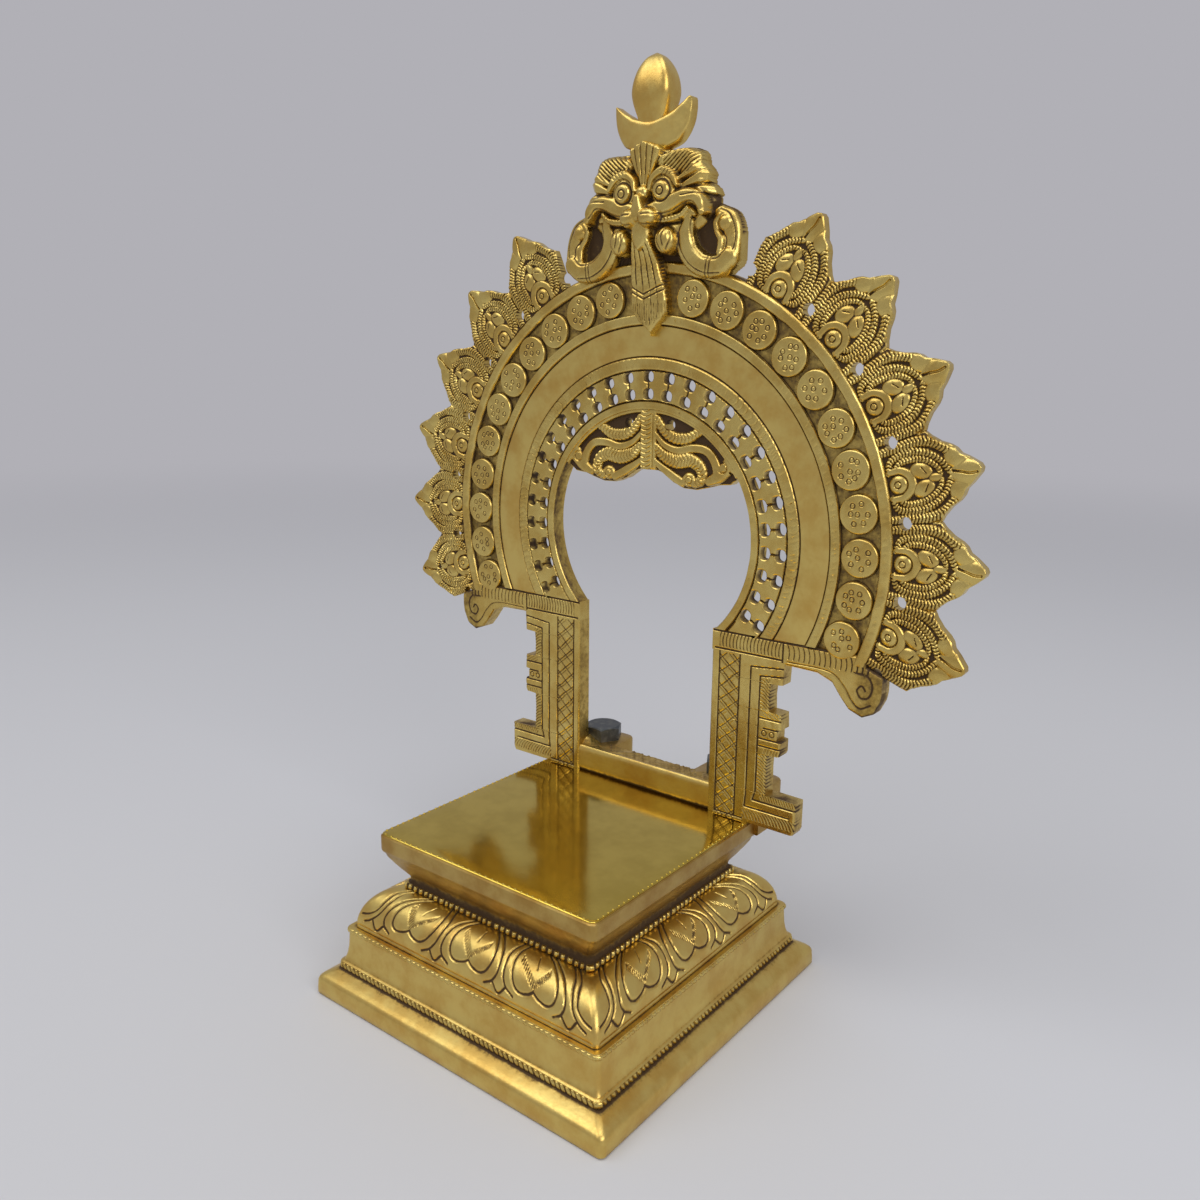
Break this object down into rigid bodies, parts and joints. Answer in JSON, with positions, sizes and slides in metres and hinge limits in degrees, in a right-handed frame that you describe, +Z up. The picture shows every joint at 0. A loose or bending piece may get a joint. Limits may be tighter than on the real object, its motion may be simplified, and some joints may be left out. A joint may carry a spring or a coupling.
{
  "type": "deity throne with aureole",
  "caption": "Cast brass deity throne: stepped square lotus pedestal with a polished seat and an upright pierced aureole crowned by a lion mask and a finial.",
  "frame": {"origin": "middle of the pedestal's underside, on the surface it stands on", "axes": "+Z up, -Y towards the front of the throne, +X to the right as seen from the front"},
  "size_m": [0.312, 0.165, 0.406],
  "materials": {
    "cast_brass": "satin cast and chased, dark in the recesses",
    "polished_brass": "polished",
    "dark_steel": "dark oxide"
  },
  "bodies": {
    "pedestal": {"plinth_casting": "cast_brass", "lotus_cushion": "cast_brass", "seat_casting": "polished_brass", "hex_nut_left": "dark_steel", "hex_nut_right": "dark_steel", "tie_screw_1": "dark_steel", "tie_screw_2": "dark_steel", "tie_screw_3": "dark_steel", "tie_screw_4": "dark_steel"},
    "aureole": {"aureole_plate": "cast_brass", "lion_mask": "cast_brass", "crescent_finial": "cast_brass", "mask_rivet_left": "cast_brass", "mask_rivet_right": "cast_brass", "mask_rivet_lower": "cast_brass", "hex_bolt_left": "dark_steel", "hex_bolt_right": "dark_steel"}
  },
  "joints": [
    {"name": "lift_off", "type": "slide", "parent": "pedestal", "child": "aureole", "axis": [0, 0, 1], "range_m": [0, 0.06]}
  ]
}
